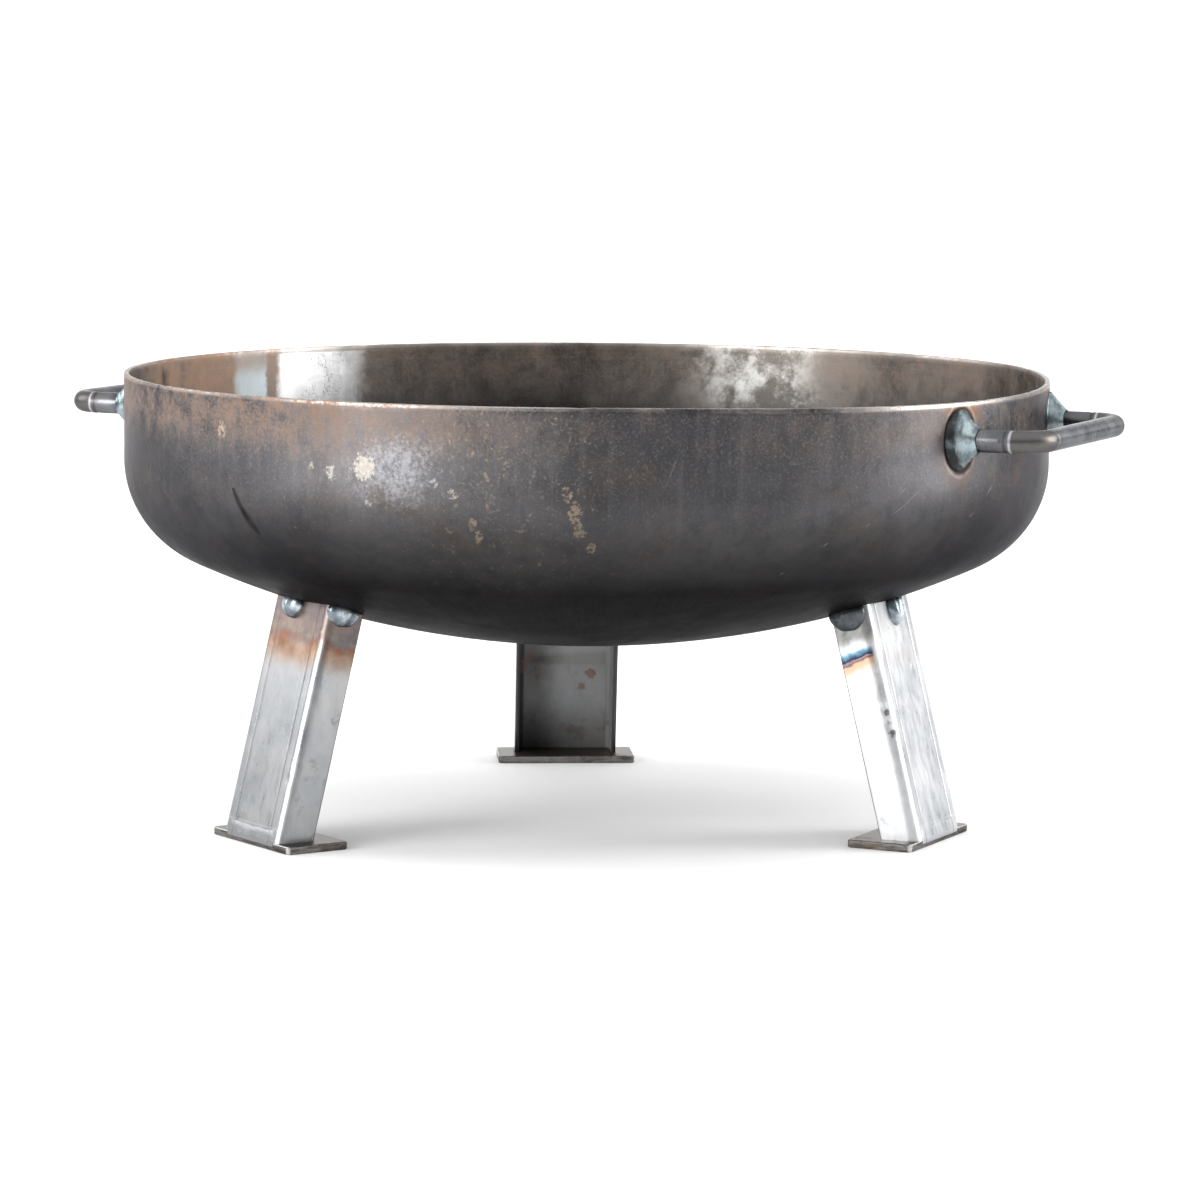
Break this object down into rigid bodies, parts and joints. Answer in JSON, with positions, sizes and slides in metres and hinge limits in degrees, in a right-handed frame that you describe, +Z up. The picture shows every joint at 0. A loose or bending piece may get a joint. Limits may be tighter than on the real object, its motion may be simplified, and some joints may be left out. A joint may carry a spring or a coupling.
{
  "type": "fire pit with grate",
  "caption": "Dished steel fire bowl on splayed channel legs with flat foot plates, round-bar carrying handles and a loose grate that lifts out.",
  "frame": {"origin": "on the ground, under the middle of the bowl", "axes": "+Z up, X along the line through the two handles, with handle_right and leg_right at +X"},
  "size_m": [0.69, 0.6, 0.289],
  "materials": {
    "bowl_steel": "oiled mill-scale steel with rust tint",
    "handle_bar": "bare drawn bar, oiled",
    "leg_steel": "bare cold-formed channel",
    "plate_steel": "mill-scale plate, oiled",
    "weld_metal": "wire-brushed weld, heat tinted",
    "grate_steel": "sooty black steel bar"
  },
  "bodies": {
    "firebowl": {"bowl": "bowl_steel", "handle_right": "handle_bar", "handle_left": "handle_bar", "handle_right_weld_front": "weld_metal", "handle_right_weld_rear": "weld_metal", "handle_left_weld_front": "weld_metal", "handle_left_weld_rear": "weld_metal", "leg_right": "leg_steel", "leg_rear": "leg_steel", "leg_left": "leg_steel", "leg_right_welds": "weld_metal", "leg_rear_welds": "weld_metal", "leg_left_welds": "weld_metal", "foot_right": "plate_steel", "foot_rear": "plate_steel", "foot_left": "plate_steel", "foot_right_weld": "leg_steel", "foot_rear_weld": "leg_steel", "foot_left_weld": "leg_steel"},
    "grate": {"grate_ring": "grate_steel", "grate_bearer_right": "grate_steel", "grate_bearer_left": "grate_steel", "grate_bar_1": "grate_steel", "grate_bar_2": "grate_steel", "grate_bar_3": "grate_steel", "grate_bar_4": "grate_steel", "grate_bar_5": "grate_steel", "grate_bar_6": "grate_steel", "grate_bar_7": "grate_steel", "grate_bar_8": "grate_steel", "grate_bar_9": "grate_steel", "grate_bar_10": "grate_steel", "grate_bar_11": "grate_steel"}
  },
  "joints": [
    {"name": "grate_lift", "type": "slide", "parent": "firebowl", "child": "grate", "axis": [0, 0, 1], "range_m": [0, 0.2]}
  ]
}
